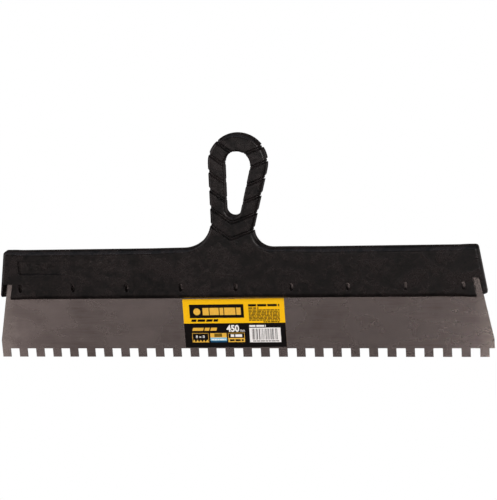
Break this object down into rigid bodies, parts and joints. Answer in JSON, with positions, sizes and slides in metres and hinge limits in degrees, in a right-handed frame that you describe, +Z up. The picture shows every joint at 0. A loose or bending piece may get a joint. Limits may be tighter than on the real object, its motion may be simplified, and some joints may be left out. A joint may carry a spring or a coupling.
{
  "type": "notched trowel",
  "caption": "Wide notched trowel: square-toothed steel blade moulded into a black plastic bar with a leaning loop grip.",
  "frame": {"origin": "top of the hole in the loop grip, on the blade's mid-plane, where the tool hangs on a hook", "axes": "+X along the blade, to the right when the labelled face is seen; +Y from the labelled face through the thickness to the back; +Z up, from the teeth to the grip"},
  "size_m": [0.45, 0.013, 0.2036],
  "materials": {
    "blade_steel": "fine rolled grain along the blade, satin",
    "handle_plastic": "moulded, satin, slightly flow-marked",
    "label_film": "printed film, semi-gloss"
  },
  "bodies": {
    "root": {"blade": "blade_steel", "handle": "handle_plastic", "label": "label_film"}
  },
  "joints": []
}
